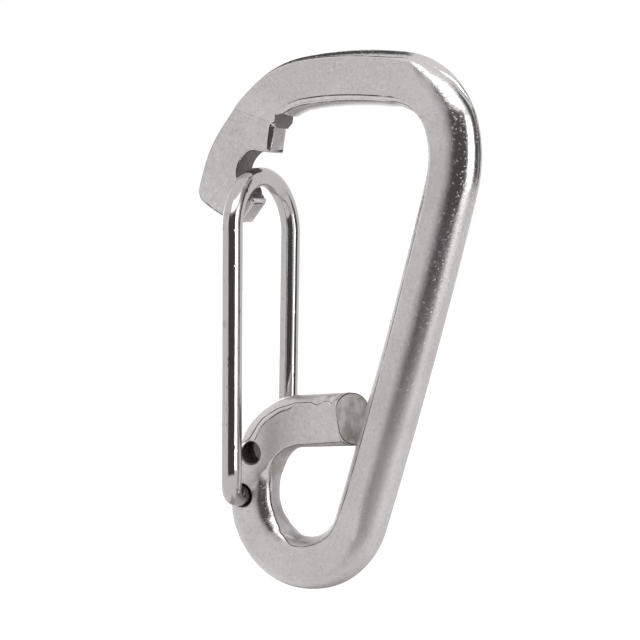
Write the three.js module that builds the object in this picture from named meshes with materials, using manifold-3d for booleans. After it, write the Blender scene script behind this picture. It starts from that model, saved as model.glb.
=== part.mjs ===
// Wire-gate snap hook with an eye, bent from one round stainless bar. Millimetres, +Z up.
// The gate nose is at the upper -X side, the straight back is at +X, the eye is at the bottom,
// and the pressed flats face -Y and +Y. The origin is on the inside of the top bend, where the
// hook hangs, so the bar passes over it.

import * as THREE from "three";
import { mergeVertices } from "three/addons/utils/BufferGeometryUtils.js";
import Module from "manifold-3d";

const wasm = await Module();
wasm.setup();

// ---- Driving dimensions ----------------------------------------------------------------------

const BAR_DIAMETER = 7.9;
const EYE_THICKNESS = 5.4; // across the pressed flats, at the eye
const BACK_THICKNESS = 6.8;
const SHOULDER_THICKNESS = 6.2; // where the back starts to turn into the top corner
const TOP_THICKNESS = 5.6;
const NOSE_THICKNESS = 4.2;
const NOSE_ROOT_THICKNESS = 3.9; // end of the bar, inside the nose plate

const WIRE_DIAMETER = 3;
const GATE_SPACING = 16.5; // between the two legs' centre lines
const GATE_APEX = { x: -14.05, z: -9.7 }; // centre line of the wire at the top of its loop
const GATE_FOOT_X = -15.45; // centre line of both legs where they start to turn in
const GATE_SPLIT = 0.3; // gap between the two halves of the wire, at the top of the loop

const HOLE_DIAMETER = 3.4;
const LOWER_HOLE = { x: -17.5, z: -58 }; // takes the front leg
const UPPER_HOLE = { x: -15.7, z: -51.4 }; // takes the rear leg
const ELBOW_HEIGHT = 5.2; // the legs leave their straight run this far above their holes
const STUB_INNER_END = 0.7; // a leg's bent end stops this far past the middle of the bar
const STUB_CLEAR_LENGTH = 0.6; // straight part of a bent end outside its hole
const ELBOW_ROUNDING = 0.5; // how far the elbow's curve is pulled out, as a part of its height

// The bar's centre line starts at the sheared end of the eye rod and always turns left.
// Each stretch has a length, the angle in degrees that it turns through, and the thickness
// across the flats at its far end.
const ROD_END = { x: 0.95, z: -45.9, heading: 184 };
const ROD_CUT_SLANT = 0.33; // the rod's end is sheared this far along it per mm across it
const STRETCHES = [
  { length: 8.8, turn: 0, thickness: EYE_THICKNESS }, // eye rod
  { length: 9.35, turn: 61.3, thickness: EYE_THICKNESS }, // shoulder of the eye
  { length: 7.25, turn: 24.1, thickness: EYE_THICKNESS }, // side of the eye, with the holes
  { length: 6.9, turn: 39.2, thickness: EYE_THICKNESS },
  { length: 6.35, turn: 44, thickness: EYE_THICKNESS }, // bottom of the eye
  { length: 13.8, turn: 78, thickness: BACK_THICKNESS },
  { length: 51.5, turn: 3.2, thickness: BACK_THICKNESS }, // back
  { length: 8.25, turn: 28.7, thickness: SHOULDER_THICKNESS },
  { length: 11.2, turn: 67.9, thickness: TOP_THICKNESS }, // top corner
  { length: 15.15, turn: 14.3, thickness: TOP_THICKNESS }, // top, where the hook hangs
  { length: 7.4, turn: 33.6, thickness: NOSE_THICKNESS }, // bend down to the nose
  { length: 2.9, turn: 6, thickness: NOSE_ROOT_THICKNESS }, // root of the nose plate
];

const ARC_STEP = 7.5; // degrees of bend between two rings of the bar
const STRAIGHT_STEP = 9; // mm between two rings along a nearly straight stretch
const SIDE_FACETS = 8; // facets on each rounded side of the bar
const CURVE_SEGMENTS = 6; // lines to each curve of the nose's outline
const HOLE_SEGMENTS = 24;
const WIRE_SIDES = 12;
const WIRE_STEPS = 56;
const MERGE_TOLERANCE = 1e-5; // mm

// ---- Materials -------------------------------------------------------------------------------

const satinSteel = new THREE.MeshStandardMaterial({ color: 0xb9b7b5, metalness: 1, roughness: 0.42 });
const polishedWire = new THREE.MeshStandardMaterial({ color: 0xc8c6c3, metalness: 1, roughness: 0.2 });

// ---- Solids ----------------------------------------------------------------------------------

function toManifold(geometry) {
  const bare = geometry.clone();
  bare.deleteAttribute("normal");
  bare.deleteAttribute("uv");
  const merged = mergeVertices(bare, MERGE_TOLERANCE);
  return new wasm.Manifold(new wasm.Mesh({
    numProp: 3,
    vertProperties: new Float32Array(merged.attributes.position.array),
    triVerts: new Uint32Array(merged.index.array),
  }));
}

function toGeometry(solid) {
  const mesh = solid.getMesh();
  const geometry = new THREE.BufferGeometry();
  geometry.setAttribute("position", new THREE.BufferAttribute(mesh.vertProperties, 3));
  geometry.setIndex(new THREE.BufferAttribute(mesh.triVerts, 1));
  geometry.computeVertexNormals();
  return geometry;
}

// An outline drawn in X and Z, as a plate centred on the middle plane of the hook.
function plate(outline, thickness) {
  const geometry = new THREE.ExtrudeGeometry(outline, {
    depth: thickness,
    bevelEnabled: false,
    curveSegments: CURVE_SEGMENTS,
  });
  geometry.rotateX(Math.PI / 2);
  geometry.translate(0, thickness / 2, 0);
  return geometry;
}

// ---- Bar -------------------------------------------------------------------------------------

// Rings of the bar: where its centre line is, which way it heads, and how thick it is pressed.
function barStations() {
  const stations = [];
  let heading = THREE.MathUtils.degToRad(ROD_END.heading);
  let thickness = EYE_THICKNESS;
  let { x, z } = ROD_END;
  stations.push({ x, z, heading, thickness });

  for (const stretch of STRETCHES) {
    const steps = Math.ceil(Math.max(stretch.turn / ARC_STEP, stretch.length / STRAIGHT_STEP));
    const halfTurn = THREE.MathUtils.degToRad(stretch.turn) / steps / 2;
    const arc = stretch.length / steps;
    const chord = halfTurn > 0 ? (arc * Math.sin(halfTurn)) / halfTurn : arc;
    const startThickness = thickness;
    for (let step = 1; step <= steps; step += 1) {
      heading += halfTurn;
      x += chord * Math.cos(heading);
      z += chord * Math.sin(heading);
      heading += halfTurn;
      thickness = THREE.MathUtils.lerp(startThickness, stretch.thickness, step / steps);
      stations.push({ x, z, heading, thickness });
    }
  }
  return stations;
}

// The bar's section is a circle with its front and back pressed flat. Points run once round it,
// as distances out from the centre line, away from the centre of the bends, and back.
function barSection(thickness) {
  const radius = BAR_DIAMETER / 2;
  const edge = Math.asin(thickness / 2 / radius);
  const side = [];
  for (let facet = 0; facet <= SIDE_FACETS; facet += 1) {
    const angle = THREE.MathUtils.lerp(-edge, edge, facet / SIDE_FACETS);
    side.push({ out: radius * Math.cos(angle), back: radius * Math.sin(angle) });
  }
  const inner = side.map(({ out, back }) => ({ out: -out, back: -back }));
  return [...side, ...inner];
}

function barGeometry() {
  const rings = barStations().map(({ x, z, heading, thickness }, station) =>
    barSection(thickness).map(({ out, back }) => {
      const slant = station === 0 ? -ROD_CUT_SLANT * back : 0;
      return [
        x + out * Math.sin(heading) + slant * Math.cos(heading),
        back,
        z - out * Math.cos(heading) + slant * Math.sin(heading),
      ];
    }));
  const sides = rings[0].length;
  const index = [];
  for (let ring = 0; ring < rings.length - 1; ring += 1) {
    for (let side = 0; side < sides; side += 1) {
      const next = (side + 1) % sides;
      const a = ring * sides + side;
      const b = ring * sides + next;
      index.push(a, b, a + sides);
      index.push(b, b + sides, a + sides);
    }
  }
  const lastRing = (rings.length - 1) * sides;
  for (let side = 1; side < sides - 1; side += 1) {
    index.push(0, side + 1, side);
    index.push(lastRing, lastRing + side, lastRing + side + 1);
  }
  const geometry = new THREE.BufferGeometry();
  geometry.setAttribute("position", new THREE.Float32BufferAttribute(rings.flat(2), 3));
  geometry.setIndex(index);
  return geometry;
}

// ---- Nose ------------------------------------------------------------------------------------

// The nose is a thinner plate. Its right-hand side has a tooth with a flat end face, the round
// slot that the gate's loop lies in, and a hooked head that the loop catches on under load.
function noseOutline() {
  const outline = new THREE.Shape();
  outline.moveTo(-14.5, 3.2);
  outline.quadraticCurveTo(-16.2, 1.8, -17.35, 0.45); // inside the bar's outer edge
  outline.quadraticCurveTo(-20.6, -3.0, -22.05, -5.8);
  outline.quadraticCurveTo(-23.5, -9.0, -24.05, -11.2);
  outline.quadraticCurveTo(-24.25, -12.4, -23.25, -13.2);
  outline.quadraticCurveTo(-20.45, -15.4, -17.5, -16.4);
  outline.quadraticCurveTo(-17.0, -16.6, -16.6, -16.1); // bottom corner of the head
  outline.lineTo(-14.2, -13.5); // end face of the head
  outline.quadraticCurveTo(-13.95, -13.1, -14.45, -12.8); // tip of the head
  outline.lineTo(-15.0, -12.2);
  outline.quadraticCurveTo(-15.1, -11.2, -15.8, -10.8); // seat that the loop rests on
  outline.quadraticCurveTo(-17.0, -10.2, -16.95, -8.8);
  outline.quadraticCurveTo(-16.6, -7.0, -15.1, -6.0);
  outline.quadraticCurveTo(-14.3, -5.5, -13.2, -5.85);
  outline.lineTo(-11.1, -6.25);
  outline.lineTo(-10.15, -2.0); // end face of the tooth
  outline.lineTo(-12.0, 0.7);
  outline.closePath();
  return outline;
}

// Room beside the tooth: the bar's rounded inner side is cut away below a small ledge.
function toothClearance() {
  const outline = new THREE.Shape();
  outline.moveTo(-10.26, -2.5);
  outline.lineTo(-9.2, -1.0);
  outline.lineTo(-8.0, -8.0);
  outline.lineTo(-11.5, -8.0);
  outline.closePath();
  return outline;
}

// ---- Hook body -------------------------------------------------------------------------------

function holeCutter({ x, z }) {
  const radius = HOLE_DIAMETER / 2;
  const cutter = new THREE.CylinderGeometry(radius, radius, BAR_DIAMETER, HOLE_SEGMENTS);
  cutter.translate(x, 0, z);
  return cutter;
}

function hookBody() {
  const solid = toManifold(barGeometry())
    .subtract(toManifold(plate(toothClearance(), BAR_DIAMETER)))
    .add(toManifold(plate(noseOutline(), NOSE_THICKNESS)))
    .subtract(toManifold(holeCutter(LOWER_HOLE)))
    .subtract(toManifold(holeCutter(UPPER_HOLE)));
  const body = new THREE.Mesh(toGeometry(solid), satinSteel);
  body.name = "hook_body";
  return body;
}

// ---- Gate ------------------------------------------------------------------------------------

// Upper quarter of the loop: from the top of a leg round to the apex, stopping at the split.
class LoopQuarter extends THREE.Curve {
  constructor(side) {
    super();
    this.side = side;
  }

  getPoint(t, target = new THREE.Vector3()) {
    const radius = GATE_SPACING / 2;
    const stop = Math.PI / 2 - GATE_SPLIT / 2 / radius;
    const angle = t * stop;
    return target.set(
      GATE_APEX.x,
      this.side * radius * Math.cos(angle),
      GATE_APEX.z - radius + radius * Math.sin(angle),
    );
  }
}

// One leg of the gate: its bent end in the hole, the elbow, the straight run and its half of the
// loop. side is -1 for the front leg and +1 for the rear leg.
function gateLegPath(side, hole) {
  const legY = side * GATE_SPACING / 2;
  const stubInner = new THREE.Vector3(hole.x, -side * STUB_INNER_END, hole.z);
  const stubOuter = new THREE.Vector3(hole.x, side * (EYE_THICKNESS / 2 + STUB_CLEAR_LENGTH), hole.z);
  const foot = new THREE.Vector3(GATE_FOOT_X, legY, hole.z + ELBOW_HEIGHT);
  const shoulder = new THREE.Vector3(GATE_APEX.x, legY, GATE_APEX.z - GATE_SPACING / 2);
  const run = shoulder.clone().sub(foot).normalize();
  const bendOut = new THREE.Vector3(0, side, 0);
  const pull = ELBOW_HEIGHT * ELBOW_ROUNDING;

  const path = new THREE.CurvePath();
  path.add(new THREE.LineCurve3(stubInner, stubOuter));
  path.add(new THREE.CubicBezierCurve3(
    stubOuter,
    stubOuter.clone().addScaledVector(bendOut, pull),
    foot.clone().addScaledVector(run, -pull),
    foot,
  ));
  path.add(new THREE.LineCurve3(foot, shoulder));
  path.add(new LoopQuarter(side));
  return path;
}

function wireSection() {
  const section = new THREE.Shape();
  for (let corner = 0; corner < WIRE_SIDES; corner += 1) {
    const angle = (corner * 2 * Math.PI) / WIRE_SIDES;
    const x = (WIRE_DIAMETER / 2) * Math.cos(angle);
    const y = (WIRE_DIAMETER / 2) * Math.sin(angle);
    if (corner === 0) {
      section.moveTo(x, y);
    } else {
      section.lineTo(x, y);
    }
  }
  section.closePath();
  return section;
}

function gateLeg(name, side, hole) {
  const geometry = new THREE.ExtrudeGeometry(wireSection(), {
    steps: WIRE_STEPS,
    extrudePath: gateLegPath(side, hole),
  });
  const leg = new THREE.Mesh(geometry, polishedWire);
  leg.name = name;
  return leg;
}

// ---- Hook ------------------------------------------------------------------------------------

const hook = new THREE.Group();
hook.add(hookBody());
hook.add(gateLeg("gate_front_leg", -1, LOWER_HOLE));
hook.add(gateLeg("gate_rear_leg", 1, UPPER_HOLE));

export default hook;
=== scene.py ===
import math

import bmesh
import bpy
from mathutils import Matrix, Vector


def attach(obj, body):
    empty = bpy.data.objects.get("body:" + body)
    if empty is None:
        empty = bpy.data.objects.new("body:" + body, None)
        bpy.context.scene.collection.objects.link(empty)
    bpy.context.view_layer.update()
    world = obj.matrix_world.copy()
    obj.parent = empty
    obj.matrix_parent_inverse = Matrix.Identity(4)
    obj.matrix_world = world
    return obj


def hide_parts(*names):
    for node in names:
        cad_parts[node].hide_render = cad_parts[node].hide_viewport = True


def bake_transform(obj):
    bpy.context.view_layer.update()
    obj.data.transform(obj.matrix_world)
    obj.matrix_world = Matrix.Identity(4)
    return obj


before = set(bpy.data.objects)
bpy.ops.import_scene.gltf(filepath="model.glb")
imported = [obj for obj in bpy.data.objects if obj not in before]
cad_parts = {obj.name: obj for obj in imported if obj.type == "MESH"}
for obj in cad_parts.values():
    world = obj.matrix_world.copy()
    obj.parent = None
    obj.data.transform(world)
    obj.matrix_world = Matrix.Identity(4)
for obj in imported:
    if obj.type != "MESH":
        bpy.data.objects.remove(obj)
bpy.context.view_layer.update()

MM = 0.001

# ---- Sizes shared with the CAD -------------------------------------------------------------------

BAR_RADIUS = 3.95
EYE_HALF = 2.7
BACK_HALF = 3.4
TOP_HALF = 2.8
NOSE_HALF = 2.1

WIRE_RADIUS = 1.5
GATE_HALF_SPACING = 8.25
GATE_APEX = (-14.05, -9.7)
GATE_FOOT_X = -15.45
LOWER_HOLE = (-17.5, -58.0)
UPPER_HOLE = (-15.7, -51.4)
HOLE_RADIUS = 1.7
ELBOW_HEIGHT = 5.2
STUB_INNER_END = 0.7  # how far a stub reaches past the middle of the bar
STUB_CLEAR_LENGTH = 0.6  # straight part of a stub outside the bar

ROD_END = (0.95, -45.9)
ROD_HEADING = 184.0
# Each stretch of the bar's centre line: its length and the angle that it turns through.
STRETCHES = [
    (8.8, 0.0),  # eye rod
    (9.35, 61.3),  # shoulder of the eye
    (7.25, 24.1),  # side of the eye
    (6.9, 39.2),
    (6.35, 44.0),  # bottom of the eye
    (13.8, 78.0),
    (51.5, 3.2),  # back
    (8.25, 28.7),
    (11.2, 67.9),  # top corner
    (15.15, 14.3),  # top
    (7.4, 33.6),  # bend down to the nose
    (7.1, 21.0),  # root of the nose plate
]

# ---- Bar section along the bar --------------------------------------------------------------------

# What the press and the bending leave of the round bar, at places along it (mm from the rod's end):
# half thickness, then the outer and the inner side of the bends. Each side has how far the flat
# reaches, how far its rounded shoulder reaches, how deep the shoulder drops, and how far it rolls
# over (0 is a straight bevel, 90 a full round that meets no edge).
SECTIONS = [
    (0.0, 3.2, (1.3, 3.9, 3.0, 85), (1.3, 3.9, 3.0, 85)),
    (0.2, 3.15, (1.4, 3.9, 2.95, 85), (1.4, 3.9, 2.95, 85)),
    (0.6, 2.7, (2.72, 3.0, 0.16, 50), (2.72, 3.0, 0.16, 50)),
    (8.3, 2.7, (2.7, 2.92, 0.16, 50), (3.0, 3.22, 0.16, 50)),
    (9.6, 2.7, (2.1, 2.6, 0.3, 12), (3.15, 3.37, 0.16, 50)),
    (13.0, 2.7, (1.6, 2.3, 0.38, 12), (3.2, 3.42, 0.16, 50)),
    (16.4, 2.7, (0.85, 1.8, 0.42, 20), (3.1, 3.36, 0.16, 50)),
    (19.2, 2.7, (1.1, 3.9, 2.5, 85), (2.5, 3.22, 0.4, 52)),
    (21.5, 2.7, (1.4, 3.9, 2.5, 85), (1.3, 3.35, 1.2, 68)),
    (25.0, 2.7, (1.6, 3.9, 2.5, 85), (1.1, 3.6, 1.4, 68)),
    (28.5, 2.7, (1.8, 3.9, 2.5, 85), (1.2, 3.8, 1.4, 67)),
    (31.5, 2.7, (1.8, 3.9, 2.5, 85), (1.5, 3.85, 1.1, 64)),
    (34.5, 2.7, (1.8, 3.9, 2.5, 85), (2.2, 3.6, 0.6, 55)),
    (38.7, 2.76, (1.8, 3.9, 2.6, 85), (2.7, 2.95, 0.16, 50)),
    (43.0, 2.9, (1.4, 3.9, 2.75, 85), (2.7, 2.95, 0.16, 50)),
    (50.0, 3.2, (0.8, 3.9, 3.0, 85), (2.3, 2.6, 0.2, 55)),
    (58.0, BACK_HALF, (0.2, 3.9, 3.2, 86), (1.8, 2.2, 0.22, 60)),
    (100.0, BACK_HALF, (0.0, 3.9, 3.2, 86), (1.8, 2.2, 0.22, 60)),
    (107.0, 3.3, (-0.2, 3.9, 3.1, 85), (2.2, 2.5, 0.2, 55)),
    (113.0, 3.05, (-0.2, 3.9, 2.9, 85), (2.55, 2.85, 0.2, 50)),
    (116.0, 2.95, (0.0, 3.5, 2.3, 81), (2.7, 2.98, 0.18, 50)),
    (119.0, 2.88, (0.5, 3.3, 1.6, 81), (2.7, 3.0, 0.2, 45)),
    (122.0, 2.83, (2.2, 3.0, 0.4, 81), (2.72, 3.2, 0.32, 25)),
    (124.5, TOP_HALF, (2.55, 2.75, 0.14, 55), (2.75, 3.42, 0.46, 20)),
    (138.0, TOP_HALF, (2.75, 3.0, 0.14, 55), (2.6, 3.35, 0.5, 20)),
    (153.2, TOP_HALF, (2.85, 3.1, 0.16, 50), (2.75, 3.3, 0.4, 20)),
]
SHOULDER_FACETS = 14
ROUND_FACETS = 18
# A dark line is drawn on both edges of a bevel and on the outer edge of a shoulder, and fades out
# as the shoulder rolls over: the roll at which it is gone, and the degrees over which it fades.
BEVEL_LINE_FADE = (26, 5)
EDGE_LINE_FADE = (80, 12)
# Where the points across a flat lie; those beside its edges keep the dark lines thin.
FLAT_STEPS = (0.03, 0.18, 0.38, 0.62, 0.82, 0.97)


def smooth(t):
    t = min(max(t, 0.0), 1.0)
    return t * t * (3 - 2 * t)


def section_at(along):
    for low, high in zip(SECTIONS, SECTIONS[1:]):
        if along <= high[0]:
            t = smooth((along - low[0]) / (high[0] - low[0]))
            sides = [[a + (b - a) * t for a, b in zip(low[side], high[side])] for side in (2, 3)]
            return low[1] + (high[1] - low[1]) * t, sides[0], sides[1]
    return SECTIONS[-1][1:]


def line_strength(roll, fade):
    gone, width = fade
    return min(1.0, max(0.0, (gone - roll) / width))


def side_points(half, flat, shoulder, drop, roll):
    """One side of the section, from the front edge of its flat to the rear edge.

    Each point is x, y and how much of an edge it lies on.
    """
    lines = {
        0: line_strength(roll, BEVEL_LINE_FADE),
        SHOULDER_FACETS: line_strength(roll, EDGE_LINE_FADE),
    }
    roll = math.radians(roll)
    upper = []
    for facet in range(SHOULDER_FACETS + 1):
        angle = roll * facet / SHOULDER_FACETS
        upper.append((
            flat + (shoulder - flat) * math.sin(angle) / math.sin(roll),
            half - drop * (1 - math.cos(angle)) / (1 - math.cos(roll)),
            lines.get(facet, 0.0),
        ))
    sagitta = BAR_RADIUS - shoulder
    rise = half - drop
    radius = (sagitta ** 2 + rise ** 2) / (2 * sagitta)
    spread = math.asin(rise / radius)
    if radius < sagitta:
        spread = math.pi - spread
    centre = BAR_RADIUS - radius
    for facet in range(1, ROUND_FACETS):
        angle = spread * (1 - facet / ROUND_FACETS)
        upper.append((centre + radius * math.cos(angle), radius * math.sin(angle), 0.0))
    lower = [(x, -y, edge) for x, y, edge in upper]
    return lower + [(BAR_RADIUS, 0.0, 0.0)] + upper[::-1]


def section_points(along):
    """The whole section: its two sides, with the flats between them."""
    half, outer_side, inner_side = section_at(along)
    outer = side_points(half, *outer_side)
    inner = [(-x, -y, edge) for x, y, edge in side_points(half, *inner_side)]
    ring = []
    for side, following in ((outer, inner), (inner, outer)):
        ring += side
        start, end = side[-1], following[0]
        for t in FLAT_STEPS:
            x, y = (a + (b - a) * t for a, b in zip(start[:2], end[:2]))
            ring.append((x, y, 0.0))
    return ring


TURN_STEP = 2.4  # degrees between stations in a bend
LENGTH_STEP = 1.0
ROD_END_STEP = 0.1  # stations are closer together in the stretch that starts at the rod's end


def centre_line():
    """Stations along the bar's centre line: x, z, heading and distance along."""
    x, z = ROD_END
    heading = math.radians(ROD_HEADING)
    along = 0.0
    stations = [(x, z, heading, along)]
    for length, turn in STRETCHES:
        length_step = LENGTH_STEP if along else ROD_END_STEP
        count = max(math.ceil(turn / TURN_STEP), math.ceil(length / length_step))
        half_turn = math.radians(turn) / count / 2
        arc = length / count
        chord = arc * math.sin(half_turn) / half_turn if half_turn else arc
        for _ in range(count):
            heading += half_turn
            x += chord * math.cos(heading)
            z += chord * math.sin(heading)
            heading += half_turn
            along += arc
            stations.append((x, z, heading, along))
    return stations


# ---- Mesh helpers ---------------------------------------------------------------------------------

def mesh_object(name, verts, faces):
    mesh = bpy.data.meshes.new(name)
    mesh.from_pydata([[c * MM for c in v] for v in verts], [], faces)
    mesh.validate()
    obj = bpy.data.objects.new(name, mesh)
    bpy.context.scene.collection.objects.link(obj)
    return obj


def ring_faces(rings, sides):
    """Faces that join rings of points into a closed body."""
    faces = []
    for ring in range(rings - 1):
        for side in range(sides):
            nxt = (side + 1) % sides
            a = ring * sides
            b = a + sides
            faces.append((a + side, a + nxt, b + nxt, b + side))
    faces.append(tuple(reversed(range(sides))))
    last = (rings - 1) * sides
    faces.append(tuple(range(last, last + sides)))
    return faces


def closed_object(name, verts, rings, sides):
    obj = mesh_object(name, verts, ring_faces(rings, sides))
    face_outward(obj)
    return obj


def face_outward(obj):
    bm = bmesh.new()
    bm.from_mesh(obj.data)
    bmesh.ops.recalc_face_normals(bm, faces=bm.faces)
    bm.to_mesh(obj.data)
    bm.free()


def apply_modifiers(obj):
    graph = bpy.context.evaluated_depsgraph_get()
    result = bpy.data.meshes.new_from_object(obj.evaluated_get(graph))
    obj.modifiers.clear()
    obj.data = result


def combine(obj, others, operation):
    """Joins or cuts obj with each of the others, which are then gone."""
    for other in others:
        modifier = obj.modifiers.new("combine", "BOOLEAN")
        modifier.operation = operation
        modifier.solver = "EXACT"
        modifier.object = other
        apply_modifiers(obj)
        bpy.data.objects.remove(other)


def shade(obj, sharp_angle):
    """Smooth shading that keeps sharp edges and leaves the flats truly flat."""
    for polygon in obj.data.polygons:
        polygon.use_smooth = True
    obj.data.set_sharp_from_angle(angle=math.radians(sharp_angle))
    modifier = obj.modifiers.new("normals", "WEIGHTED_NORMAL")
    modifier.keep_sharp = True
    modifier.weight = 80
    apply_modifiers(obj)


# ---- Hook body ------------------------------------------------------------------------------------

ROD_CUT_SLANT = 0.33  # the rod's end is sheared this far along it, per mm from front to rear
ROD_CUT_LEAN = 0.1  # and this far per mm up
ROD_CUT_FADE = 3.0  # the slant has died out this far along the rod
END_INSET = 0.95  # the rod's end face, as a part of the section behind it
LIP_LINES = {0.0: 1.0, 0.6: 0.5}  # dark lines round the lip at the rod's end, by distance along
# Nicks that the shear left on the rod's top front edge: where, half length and depth.
ROD_NICKS = [(1.6, 0.9, 0.4), (4.6, 1.3, 0.45)]
NICK_OUT = 1.8  # a nick starts this far out from the rod's centre line,
NICK_FRONT = -0.8  # in front of this Y


def nick_depth(along, out, back):
    if out < NICK_OUT or back > NICK_FRONT:
        return 0.0
    edge = smooth(out - NICK_OUT) * smooth(NICK_FRONT - back)
    return edge * sum(
        depth * smooth(1 - abs(along - place) / reach) for place, reach, depth in ROD_NICKS)


def bar_object():
    stations = centre_line()
    verts = []
    edges = []
    sides = 0
    for x, z, heading, along in stations:
        ring = section_points(along)
        sides = len(ring)
        fade = max(0.0, 1 - along / ROD_CUT_FADE)
        for out, back, edge in ring:
            slant = (-ROD_CUT_SLANT * back + ROD_CUT_LEAN * out) * fade
            out -= nick_depth(along, out, back)
            verts.append((
                x + out * math.sin(heading) + slant * math.cos(heading),
                back,
                z - out * math.cos(heading) + slant * math.sin(heading),
            ))
            edges.append(max(edge, LIP_LINES.get(round(along, 2), 0.0)))
    rim = verts[:sides]
    middle = [sum(values) / sides for values in zip(*rim)]
    inset = [tuple(m + (v - m) * END_INSET for v, m in zip(vert, middle)) for vert in rim]
    bar = mesh_object("bar", inset + verts, ring_faces(len(stations) + 1, sides))
    edge_lines = bar.data.attributes.new("edge", "FLOAT", "POINT")
    edge_lines.data.foreach_set("value", [0.0] * sides + edges)
    face_outward(bar)
    return bar


def quadratic(start, control, end, count):
    points = []
    for step in range(1, count + 1):
        t = step / count
        points.append(tuple(
            (1 - t) ** 2 * a + 2 * t * (1 - t) * b + t * t * c
            for a, b, c in zip(start, control, end)))
    return points


# The nose plate's outline in X and Z: each row has a curve's control (None for a straight line) and
# its end, then the width of the chamfer on the outline's edges up to there.
NOSE_START = (-14.5, 3.2)
NOSE_OUTLINE = [
    ((-16.2, 1.8), (-17.35, 0.45), 0.2),
    ((-20.6, -3.0), (-22.05, -5.8), 0.2),
    ((-23.5, -9.0), (-24.05, -11.2), 0.2),
    ((-24.25, -12.4), (-23.25, -13.2), 0.25),
    ((-20.45, -15.4), (-17.5, -16.4), 0.3),
    ((-16.9, -16.6), (-16.4, -15.95), 0.8),
    (None, (-14.55, -13.85), 0.85),
    ((-13.85, -13.15), (-14.5, -12.75), 0.85),
    (None, (-15.0, -12.2), 0.5),
    ((-15.1, -11.2), (-15.8, -10.8), 0.3),
    ((-17.0, -10.2), (-16.95, -8.8), 0.25),
    ((-16.6, -7.0), (-15.1, -6.0), 0.25),
    ((-14.3, -5.5), (-13.2, -5.85), 0.2),
    (None, (-11.35, -6.2), 0.2),
    ((-11.1, -6.25), (-11.05, -6.0), 0.55),
    (None, (-10.15, -2.0), 0.75),
    (None, (-12.0, 0.7), 0.4),
]
NOSE_CURVE_STEPS = 8
NOSE_LINE_STEP = 0.5
# The chamfer's section, as parts of its width: how far in from the outline, and how deep.
CHAMFER = [
    (1.0, 0.0), (0.93, 0.02), (0.85, 0.06), (0.24, 0.44), (0.1, 0.55), (0.03, 0.65), (0.0, 0.8),
]


def nose_points():
    """The outline's points, each with the chamfer's width there."""
    points = [(NOSE_START, NOSE_OUTLINE[0][2])]
    for control, end, chamfer in NOSE_OUTLINE:
        start, before = points[-1]
        if control is None:
            count = max(2, math.ceil(math.dist(start, end) / NOSE_LINE_STEP))
            middle = tuple((a + b) / 2 for a, b in zip(start, end))
            curve = quadratic(start, middle, end, count)
        else:
            curve = quadratic(start, control, end, NOSE_CURVE_STEPS)
        for i, point in enumerate(curve):
            change = min(1, 2 * (i + 1) / len(curve))  # complete half way along
            points.append((point, before + (chamfer - before) * change))
    return points


def nose_object():
    points = nose_points()
    count = len(points)
    inward = []
    for i in range(count):
        run = Vector(points[(i + 1) % count][0]) - Vector(points[i - 1][0])
        run.normalize()
        inward.append(Vector((-run.y, run.x)))
    rings = [(-1, across, deep) for across, deep in CHAMFER]
    rings += [(1, across, deep) for across, deep in reversed(CHAMFER)]
    verts = []
    for side, across, deep in rings:
        for (point, chamfer), direction in zip(points, inward):
            place = Vector(point) + direction * chamfer * across
            verts.append((place.x, side * (NOSE_HALF - chamfer * deep), place.y))
    return closed_object("nose", verts, len(rings), count)


# The bar's own inner side ends in a sheared ledge just above the nose's tooth. Rows down its face:
# X and Z, and the half width there.
LEDGE = [((-9.62, -0.8), 2.68), ((-9.75, -1.7), 2.6), ((-9.95, -2.6), 1.6)]
LEDGE_DEPTH = 2.2
LEDGE_ROOT_HALF = 1.85  # half width where it runs into the bar
# X and Z of the cutter that clears the bar away in front of the ledge, and its half width.
LEDGE_CLEARANCE = [(-9.62, -0.8), (-8.4, -0.62), (-5.0, -3.0), (-5.0, -9.0), (-11.0, -9.0)]
CLEARANCE_HALF = 5


def clearance_object():
    verts = [(x, y, z) for y in (-CLEARANCE_HALF, CLEARANCE_HALF) for x, z in LEDGE_CLEARANCE]
    return closed_object("clearance", verts, 2, len(LEDGE_CLEARANCE))


def ledge_object():
    verts = []
    for (x, z), half in LEDGE:
        root = min(half, LEDGE_ROOT_HALF)
        back = x - LEDGE_DEPTH
        verts += [(x, -half, z), (x, half, z), (back, root, z), (back, -root, z)]
    return closed_object("ledge", verts, len(LEDGE), 4)


HOLE_CHAMFER = 0.22
HOLE_SEGMENTS = 56
HOLE_CUTTER_HALF = 6.0


def hole_cutter(centre, name):
    wide = HOLE_RADIUS + HOLE_CHAMFER
    front = [(-HOLE_CUTTER_HALF, wide), (-EYE_HALF, wide), (-EYE_HALF + HOLE_CHAMFER, HOLE_RADIUS)]
    profile = front + [(-y, radius) for y, radius in reversed(front)]
    verts = []
    for y, radius in profile:
        for step in range(HOLE_SEGMENTS):
            angle = 2 * math.pi * step / HOLE_SEGMENTS
            x = centre[0] + radius * math.cos(angle)
            verts.append((x, y, centre[1] + radius * math.sin(angle)))
    return closed_object(name, verts, len(profile), HOLE_SEGMENTS)


# The crease across the hook where the press that thinned the nose plate ended: a point on it in
# X and Z, its direction in degrees, and the width of the slope above it.
CREASE = (-13.2, -0.87)
CREASE_HEADING = -21.5
CREASE_SLOPE = 3.6
CREASE_REACH = (-12, 6)  # how far the cutters run along it, either way from that point
CUTTER_HALF = 9  # clear of the bar's faces
BELOW_DEPTH = 20  # past the nose, and not so far that it cuts the eye
SLOPE_HEIGHTS = (-1, 9)
GROOVE_HALF_WIDTH = 0.13
GROOVE_DEPTH = 0.06
GROOVE_CLEAR = 0.1  # how far its cutter stands out of the face


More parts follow.
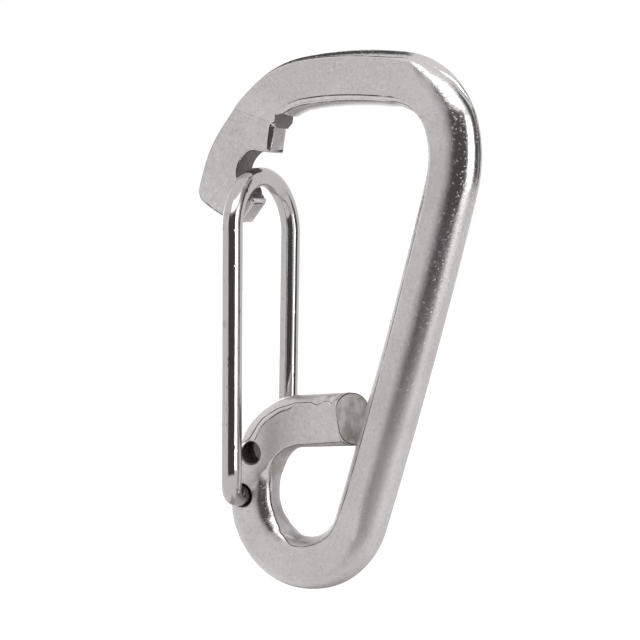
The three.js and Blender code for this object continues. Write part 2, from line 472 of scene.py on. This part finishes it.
def crease_prism(name, section):
    """A prism along the crease; its section is given as height above the crease and Y."""
    heading = math.radians(CREASE_HEADING)
    run = Vector((math.cos(heading), math.sin(heading)))
    up = Vector((-run.y, run.x))
    verts = []
    for reach in CREASE_REACH:
        for height, y in section:
            place = Vector(CREASE) + reach * run + height * up
            verts.append((place.x, y, place.y))
    return closed_object(name, verts, 2, len(section))


def bar_below_crease():
    """The cutter that clears the bar away where the nose plate takes over."""
    section = [(0, -CUTTER_HALF), (0, CUTTER_HALF),
               (-BELOW_DEPTH, CUTTER_HALF), (-BELOW_DEPTH, -CUTTER_HALF)]
    return crease_prism("below", section)


def squeezed(side):
    """The cutter that slopes one face of the bar down to the nose plate."""
    slope = (TOP_HALF - NOSE_HALF) / CREASE_SLOPE
    section = [(height, NOSE_HALF + height * slope) for height in SLOPE_HEIGHTS]
    section += [(height, CUTTER_HALF) for height in reversed(SLOPE_HEIGHTS)]
    return crease_prism("squeezed", [(height, side * y) for height, y in section])


def crease_groove(side):
    """The cutter of the fine line that the press left along the crease."""
    rim = NOSE_HALF + GROOVE_CLEAR
    section = [
        (-GROOVE_HALF_WIDTH, rim), (0.0, NOSE_HALF - GROOVE_DEPTH), (GROOVE_HALF_WIDTH, rim)]
    return crease_prism("groove", [(height, side * y) for height, y in section])


HOOK_SHARP_ANGLE = 30


def hook_piece():
    hook = bar_object()
    hook.name = "hook"
    cutters = [bar_below_crease(), squeezed(-1), squeezed(1), clearance_object()]
    combine(hook, cutters, "DIFFERENCE")
    combine(hook, [ledge_object(), nose_object()], "UNION")
    combine(hook, [crease_groove(-1), crease_groove(1)], "DIFFERENCE")
    cutters = [hole_cutter(LOWER_HOLE, "lower_hole"), hole_cutter(UPPER_HOLE, "upper_hole")]
    combine(hook, cutters, "DIFFERENCE")
    mark_cut_and_shade(hook)
    shade(hook, HOOK_SHARP_ANGLE)
    return hook


# What is stored for each face, as the kind of cut surface and painted shade: 0 is clean.
EYE_WALL = 1.3
ROUGH_CUT = 1.0
# A cut in a hole's wall or a recess: rough, and it also gets painted shade.
SHADED_CUT = 2.0
# Boxes round the surfaces that were cut or punched and left rough, in X, Y and Z.
SHEARED = [
    ((0.0, 2.4), (-3.3, 3.3), (-50.0, -41.9)),  # rod's end
    ((-11.4, -9.6), (-1.7, 1.7), (-6.3, -2.0)),  # tooth
]
# And round recesses darkened with painted shade: the ledge's face under its overhang, and the nose's
# slot.
SHADED_RECESSES = [
    ((-10.2, -9.5), (-2.7, 2.7), (-2.62, -0.6)),  # ledge
    ((-17.2, -11.3), (-2.0, 2.0), (-12.9, -5.4)),  # slot of the nose
]
# The eye's inner wall is stained, out to this far from its middle.
EYE_MIDDLE = (-6.0, -54.5)
EYE_REACH = 10.2
HOLE_MARK_WIDTH = 0.2  # a hole's wall is marked this far beyond its radius


def within(point, boxes):
    return any(
        all(low < value < high for value, (low, high) in zip(point, box)) for box in boxes)


def mark_cut_and_shade(obj):
    """Stores, for each face, what kind of cut surface it lies on, and whether it gets painted shade.
    """
    marks = obj.data.attributes.new("cut_and_shade", "FLOAT", "FACE")
    for polygon in obj.data.polygons:
        centre = polygon.center / MM
        facing = polygon.normal
        # The box round the rod's end takes in a little of the rod's sides, which are clean.
        rod_side = centre.z < -41.9 and centre.x > -2 and facing.x < 0.8
        hole_distance = min(math.dist(centre.xz, hole) for hole in (LOWER_HOLE, UPPER_HOLE))
        in_hole = hole_distance < HOLE_RADIUS + HOLE_MARK_WIDTH
        value = 0.0
        # Hole walls and the recesses are rough cuts, and they get painted shade as well.
        if (in_hole or within(centre, SHADED_RECESSES)) and abs(facing.y) < 0.9:
            value = SHADED_CUT
        elif within(centre, SHEARED) and not rod_side:
            value = ROUGH_CUT
        elif abs(facing.y) < 0.5 and math.dist(centre.xz, EYE_MIDDLE) < EYE_REACH:
            value = EYE_WALL
        marks.data[polygon.index].value = value


# ---- Gate wire ------------------------------------------------------------------------------------

SEAM_OVERLAP = 0.4  # how far an end piece runs on inside the straight run
STUB_STEPS = 6
ELBOW_STEPS = 20
RUN_STEPS = 30
LOOP_STEPS = 48
WIRE_SIDES = 40
WIRE_SHARP_ANGLE = 50


def bezier(p0, p1, p2, p3, count):
    points = []
    for step in range(count + 1):
        t = step / count
        points.append(
            (1 - t) ** 3 * p0 + 3 * t * (1 - t) ** 2 * p1
            + 3 * t * t * (1 - t) * p2 + t ** 3 * p3)
    return points


def leg_ends(side, hole):
    """The ends of a leg's stub and of its straight run; the elbow lies between them."""
    y = side * GATE_HALF_SPACING
    stub_inner = Vector((hole[0], -side * STUB_INNER_END, hole[1]))
    stub_outer = Vector((hole[0], side * (EYE_HALF + STUB_CLEAR_LENGTH), hole[1]))
    foot = Vector((GATE_FOOT_X, y, hole[1] + ELBOW_HEIGHT))
    shoulder = Vector((GATE_APEX[0], y, GATE_APEX[1] - GATE_HALF_SPACING))
    return stub_inner, stub_outer, foot, shoulder


def end_path(side, hole):
    """The path of an end piece: stub and elbow."""
    stub_inner, stub_outer, foot, shoulder = leg_ends(side, hole)
    run = (shoulder - foot).normalized()
    out = Vector((0, side, 0))
    path = [stub_inner.lerp(stub_outer, t / STUB_STEPS) for t in range(STUB_STEPS)]
    path += bezier(
        stub_outer,
        stub_outer + out * ELBOW_HEIGHT / 2,
        foot - run * ELBOW_HEIGHT / 2,
        foot,
        ELBOW_STEPS)
    return path + [foot + run * SEAM_OVERLAP]


def loop_path():
    """The path of the two straight runs and the half-round loop over them."""
    front_foot, front_shoulder = leg_ends(-1, LOWER_HOLE)[2:]
    rear_foot, rear_shoulder = leg_ends(1, UPPER_HOLE)[2:]
    path = [front_foot.lerp(front_shoulder, t / RUN_STEPS) for t in range(RUN_STEPS)]
    middle = Vector((GATE_APEX[0], 0, GATE_APEX[1] - GATE_HALF_SPACING))
    for step in range(LOOP_STEPS + 1):
        angle = math.pi - math.pi * step / LOOP_STEPS
        path.append(middle + GATE_HALF_SPACING * Vector((0, math.cos(angle), math.sin(angle))))
    path += [rear_shoulder.lerp(rear_foot, t / RUN_STEPS) for t in range(1, RUN_STEPS + 1)]
    return path


def ring_at(point, tangent, across):
    other = tangent.cross(across)
    ring = []
    for side in range(WIRE_SIDES):
        angle = 2 * math.pi * side / WIRE_SIDES
        offset = math.cos(angle) * across + math.sin(angle) * other
        ring.append(tuple(point + WIRE_RADIUS * offset))
    return ring


def wire_object(name, path):
    """A wire of round section along a path, its frame carried along without twist."""
    tangents = []
    for i in range(len(path)):
        before = path[max(i - 1, 0)]
        after = path[min(i + 1, len(path) - 1)]
        tangents.append((after - before).normalized())
    across = tangents[0].cross(Vector((1, 0, 0))).normalized()
    verts = []
    for point, tangent in zip(path, tangents):
        across = (across - tangent * across.dot(tangent)).normalized()
        verts += ring_at(point, tangent, across)
    obj = closed_object(name, verts, len(path), WIRE_SIDES)
    shade(obj, WIRE_SHARP_ANGLE)
    return obj


# ---- Materials ------------------------------------------------------------------------------------

class Nodes:
    """Short-hand for building a node tree."""

    def __init__(self, tree):
        self.tree = tree
        tree.nodes.clear()

    def add(self, kind, **settings):
        node = self.tree.nodes.new(kind)
        for key, value in settings.items():
            setattr(node, key, value)
        return node

    def link(self, source, target):
        self.tree.links.new(source, target)

    def math(self, operation, a, b=None, c=None):
        node = self.add("ShaderNodeMath", operation=operation)
        for socket, value in zip(node.inputs, (a, b, c)):
            if value is None:
                continue
            if isinstance(value, (int, float)):
                socket.default_value = value
            else:
                self.link(value, socket)
        return node.outputs[0]

    def split(self, vector):
        node = self.add("ShaderNodeSeparateXYZ")
        self.link(vector, node.inputs[0])
        return node.outputs

    def attribute(self, name):
        return self.add("ShaderNodeAttribute", attribute_name=name).outputs["Fac"]

    def remap(self, value, low, high, to_low, to_high):
        """A smooth step from to_low at low to to_high at high."""
        node = self.add("ShaderNodeMapRange", clamp=True, interpolation_type="SMOOTHSTEP")
        self.link(value, node.inputs["Value"])
        node.inputs["From Min"].default_value = low
        node.inputs["From Max"].default_value = high
        node.inputs["To Min"].default_value = to_low
        node.inputs["To Max"].default_value = to_high
        return node.outputs["Result"]

    def noise(self, vector, scale, detail=2.0, roughness=0.5):
        node = self.add("ShaderNodeTexNoise")
        node.inputs["Scale"].default_value = scale
        node.inputs["Detail"].default_value = detail
        node.inputs["Roughness"].default_value = roughness
        self.link(vector, node.inputs["Vector"])
        return node.outputs["Fac"]

    def mix_color(self, factor, a, b):
        node = self.add("ShaderNodeMix", data_type="RGBA")
        self.link(factor, node.inputs["Factor"])
        for socket, value in ((node.inputs[6], a), (node.inputs[7], b)):
            if isinstance(value, tuple):
                socket.default_value = value
            else:
                self.link(value, socket)
        return node.outputs[2]

    def mix_value(self, factor, a, b):
        node = self.add("ShaderNodeMix", data_type="FLOAT")
        for socket, value in ((node.inputs[0], factor), (node.inputs[2], a), (node.inputs[3], b)):
            self.link(value, socket)
        return node.outputs[0]

    def bump(self, height, distance, strength=1.0, normal=None):
        node = self.add("ShaderNodeBump")
        node.inputs["Strength"].default_value = strength
        node.inputs["Distance"].default_value = distance
        self.link(height, node.inputs["Height"])
        if normal is not None:
            self.link(normal, node.inputs["Normal"])
        return node.outputs["Normal"]


def new_material(name):
    material = bpy.data.materials.new(name)
    material.use_nodes = True
    return material, Nodes(material.node_tree)


def finish_metal(n, tone, rough, normal):
    shader = n.add("ShaderNodeBsdfPrincipled")
    shader.inputs["Metallic"].default_value = 1.0
    n.link(tone, shader.inputs["Base Color"])
    n.link(rough, shader.inputs["Roughness"])
    n.link(normal, shader.inputs["Normal"])
    output = n.add("ShaderNodeOutputMaterial")
    n.link(shader.outputs[0], output.inputs["Surface"])


STEEL_TONES = ((0.70, 0.675, 0.665, 1), (0.76, 0.745, 0.74, 1))
STEEL_DARK_GRAIN = (0.50, 0.48, 0.475, 1)
STEEL_LIGHT_GRAIN = (0.92, 0.91, 0.90, 1)
STAINED_TONES = ((0.56, 0.53, 0.51, 1), (0.82, 0.80, 0.785, 1))
# The tone of the painted shade in the holes' walls and the recesses.
PAINTED_SHADE_TONE = (0.17, 0.15, 0.14, 1)
LINE_TONE = (0.09, 0.08, 0.075, 1)


def steel_material():
    material, n = new_material("hook_steel")
    coords = n.add("ShaderNodeTexCoord").outputs["Object"]
    place = n.split(coords)
    facing = n.split(n.add("ShaderNodeNewGeometry").outputs["Normal"])
    pressed = n.remap(n.math("ABSOLUTE", facing["Y"]), 0.93, 0.995, 0.0, 1.0)
    cut_and_shade = n.attribute("cut_and_shade")

    blotch = n.noise(coords, 90.0, 3.0)
    broad = n.noise(coords, 420.0, 3.0)
    torn = n.noise(coords, 1300.0, 4.0, 0.7)
    grain = n.noise(coords, 2100.0, 4.0, 0.65)
    fine = n.noise(coords, 2900.0, 1.5)

    tone = n.mix_color(n.remap(blotch, 0.35, 0.65, 0.0, 1.0), *STEEL_TONES)
    tone = n.mix_color(n.remap(grain, 0.52, 0.72, 0.0, 0.42), tone, STEEL_DARK_GRAIN)
    tone = n.mix_color(n.remap(grain, 0.44, 0.30, 0.0, 0.45), tone, STEEL_LIGHT_GRAIN)
    stained = n.mix_color(n.remap(broad, 0.38, 0.62, 0.0, 1.0), *STAINED_TONES)
    tone = n.mix_color(cut_and_shade, tone, stained)
    # Painted shade on the holes' walls and in the recesses.
    painted_shade = n.remap(cut_and_shade, ROUGH_CUT, SHADED_CUT, 0.0, 0.85)
    tone = n.mix_color(painted_shade, tone, PAINTED_SHADE_TONE)
    # The dark lines along the edges of the bar, broken up here and there.
    line = n.math("MULTIPLY",
                  n.remap(n.attribute("edge"), 0.0, 0.4, 0.0, 1.0),
                  n.remap(broad, 0.3, 0.55, 0.25, 1.0))
    tone = n.mix_color(line, tone, LINE_TONE)

    # The top bend is polished by use, and the round side of the back grows duller down to the eye.
    polish = n.remap(place["Z"], -0.022, -0.008, 0.27, 0.16)
    worn = n.math("MULTIPLY",
                  n.remap(place["Z"], -0.052, -0.024, 0.17, 0.0),
                  n.remap(place["X"], -0.012, -0.004, -0.2, 1.0))
    rounded = n.math("ADD", n.math("ADD", worn, polish), n.remap(grain, 0.3, 0.7, -0.04, 0.06))
    flat = n.remap(grain, 0.3, 0.7, 0.36, 0.48)
    rough = n.mix_value(pressed, rounded, flat)
    rough = n.mix_value(cut_and_shade, rough, n.remap(broad, 0.3, 0.7, 0.42, 0.6))

    # Heights of the bumps, in metres.
    normal = n.bump(blotch, 0.00005, 0.5)
    normal = n.bump(broad, 0.000015, 0.8, normal)
    normal = n.bump(grain, 0.000018, 1.0, normal)
    pits = n.remap(fine, 0.61, 0.75, 0.0, 1.0)
    normal = n.bump(pits, 0.00002, 1.0, normal)
    tear = n.math("MULTIPLY", torn, n.math("MINIMUM", cut_and_shade, 0.75))
    normal = n.bump(tear, 0.00022, 1.0, normal)

    finish_metal(n, tone, rough, normal)
    return material


WIRE_TONE = (0.60, 0.585, 0.575, 1)
WIRE_NICK_TONE = (0.40, 0.39, 0.38, 1)
# The tone of the wire's ends inside the holes: a dull end, with painted shade.
WIRE_END_DULL_AND_SHADE_TONE = (0.13, 0.12, 0.115, 1)
DRAWN_STRETCH = (1.0, 1.0, 0.08)


def wire_material():
    material, n = new_material("gate_wire")
    coords = n.add("ShaderNodeTexCoord").outputs["Object"]
    place = n.split(coords)
    stretch = n.add("ShaderNodeMapping")
    stretch.inputs["Scale"].default_value = DRAWN_STRETCH
    n.link(coords, stretch.inputs["Vector"])
    drawn = n.noise(stretch.outputs[0], 3000.0, 3.0)
    nicks = n.noise(coords, 700.0, 3.0)
    # The sheared ends inside the holes are dull, and they are darkened further with painted shade
    # where the holes shade them.
    inside = n.math("MULTIPLY",
                    n.remap(n.math("ABSOLUTE", place["Y"]), 0.0021, 0.0026, 1.0, 0.0),
                    n.remap(place["Z"], -0.046, -0.044, 1.0, 0.0))

    tone = n.mix_color(n.remap(nicks, 0.60, 0.72, 0.0, 0.5), WIRE_TONE, WIRE_NICK_TONE)
    tone = n.mix_color(inside, tone, WIRE_END_DULL_AND_SHADE_TONE)
    rough = n.remap(drawn, 0.3, 0.7, 0.08, 0.16)
    normal = n.bump(drawn, 0.000004, 1.0)
    normal = n.bump(n.remap(nicks, 0.62, 0.75, 0.0, -1.0), 0.000014, 1.0, normal)

    finish_metal(n, tone, rough, normal)
    return material


# ---- Studio ---------------------------------------------------------------------------------------

# Panels around the hook, each laid over those before it: low and high azimuth from the front
# towards the back bar, low and high elevation, all in degrees, how soft the panel's edge is, and
# how bright it is. None is no limit.
PANELS = [
    ((None, -126), (None, -32), 14, 0.5),  # under the hook, at the back
    ((-12, 66), (-31, 30), 9, 0.085),  # dark, where the photographer stands
    ((96, 130), (-16, 52), 6, 0.10),  # black flag
    ((-158, -122), (28, 64), 8, 0.07),  # black flag behind and above
    ((65, 96), (-17, 25), 3, 3.4),  # soft box at the right
    ((4, 78), (33, 54), 3, 2.8),  # soft box above it
    ((-150, -118), (-12, 22), 5, 2.4),  # soft box behind
]
AMBIENT = 1.0


def studio_world():
    """Reflections see the panels; everything else sees plain white."""
    world = bpy.data.worlds.new("studio")
    world.use_nodes = True
    bpy.context.scene.world = world
    n = Nodes(world.node_tree)
    x, y, z = n.split(n.add("ShaderNodeTexCoord").outputs["Generated"])
    azimuth = n.math("DEGREES", n.math("ARCTAN2", x, n.math("MULTIPLY", y, -1.0)))
    elevation = n.math("DEGREES", n.math("ARCSINE", z))

    level = AMBIENT
    for azimuths, elevations, soft, brightness in PANELS:
        inside = 1.0
        for angle, (low, high) in ((azimuth, azimuths), (elevation, elevations)):
            for limit, below, above in ((low, 0.0, 1.0), (high, 1.0, 0.0)):
                if limit is None:
                    continue
                step = n.remap(angle, limit - soft / 2, limit + soft / 2, below, above)
                inside = n.math("MULTIPLY", step, inside)
        here = n.math("SUBTRACT", brightness, level)
        level = n.math("MULTIPLY_ADD", here, inside, level)

    studio = n.add("ShaderNodeBackground")
    n.link(level, studio.inputs["Strength"])
    plain = n.add("ShaderNodeBackground")
    plain.inputs["Color"].default_value = (1, 1, 1, 1)
    plain.inputs["Strength"].default_value = 1.0
    glossy = n.add("ShaderNodeLightPath").outputs["Is Glossy Ray"]
    choose = n.add("ShaderNodeMixShader")
    n.link(glossy, choose.inputs[0])
    n.link(plain.outputs[0], choose.inputs[1])
    n.link(studio.outputs[0], choose.inputs[2])
    output = n.add("ShaderNodeOutputWorld")
    n.link(choose.outputs[0], output.inputs["Surface"])


FLOOR_HALF = 2500.0
FLOOR_LEVEL = -135.0


def floor():
    corners = [(-1, -1), (1, -1), (1, 1), (-1, 1)]
    verts = [(x * FLOOR_HALF, y * FLOOR_HALF, FLOOR_LEVEL) for x, y in corners]
    obj = mesh_object("floor", verts, [(0, 1, 2, 3)])
    material, n = new_material("floor")
    shader = n.add("ShaderNodeBsdfPrincipled")
    shader.inputs["Base Color"].default_value = (0.9, 0.9, 0.9, 1)
    shader.inputs["Roughness"].default_value = 0.9
    shader.inputs["Emission Color"].default_value = (1, 1, 1, 1)
    shader.inputs["Emission Strength"].default_value = 0.25
    output = n.add("ShaderNodeOutputMaterial")
    n.link(shader.outputs[0], output.inputs["Surface"])
    obj.data.materials.append(material)
    obj.visible_glossy = False


CAMERA_TARGET = (-4.4, 0.0, -31.3)
CAMERA_DISTANCE = 214.1
CAMERA_AZIMUTH = math.radians(29.9)
CAMERA_ELEVATION = math.radians(3.33)
CAMERA_ROLL = math.radians(-1.55)
CAMERA_LENS = 80.98
CAMERA_SENSOR = 36
CAMERA_CLIP_START = 0.01


def camera():
    az, el = CAMERA_AZIMUTH, CAMERA_ELEVATION
    back = Vector((math.sin(az) * math.cos(el), -math.cos(az) * math.cos(el), math.sin(el)))
    right = Vector((math.cos(az), math.sin(az), 0))
    up = back.cross(right)
    turned = Matrix.Rotation(CAMERA_ROLL, 3, back)
    right = turned @ right
    up = turned @ up
    data = bpy.data.cameras.new("camera")
    data.lens = CAMERA_LENS
    data.sensor_width = CAMERA_SENSOR
    data.clip_start = CAMERA_CLIP_START
    obj = bpy.data.objects.new("camera", data)
    place = (Vector(CAMERA_TARGET) + CAMERA_DISTANCE * back) * MM
    axes = Matrix((right, up, back)).transposed().to_4x4()
    obj.matrix_world = Matrix.Translation(place) @ axes
    bpy.context.scene.collection.objects.link(obj)
    bpy.context.scene.camera = obj


# ---- Scene ----------------------------------------------------------------------------------------

bpy.context.scene.view_settings.view_transform = "Standard"
camera()
studio_world()
floor()

steel = steel_material()
wire = wire_material()

hook = hook_piece()
hook.data.materials.clear()
hook.data.materials.append(steel)
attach(hook, "hook")
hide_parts("hook_body")

gate = wire_object("gate_wire", loop_path())
gate.data.materials.append(wire)
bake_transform(gate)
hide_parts("gate_front_leg", "gate_rear_leg")

for name, body, side, hole in (
        ("gate_wire_front_end", "gate_front", -1, LOWER_HOLE),
        ("gate_wire_rear_end", "gate_rear", 1, UPPER_HOLE)):
    end = wire_object(name, end_path(side, hole))
    end.data.materials.append(wire)
    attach(end, body)
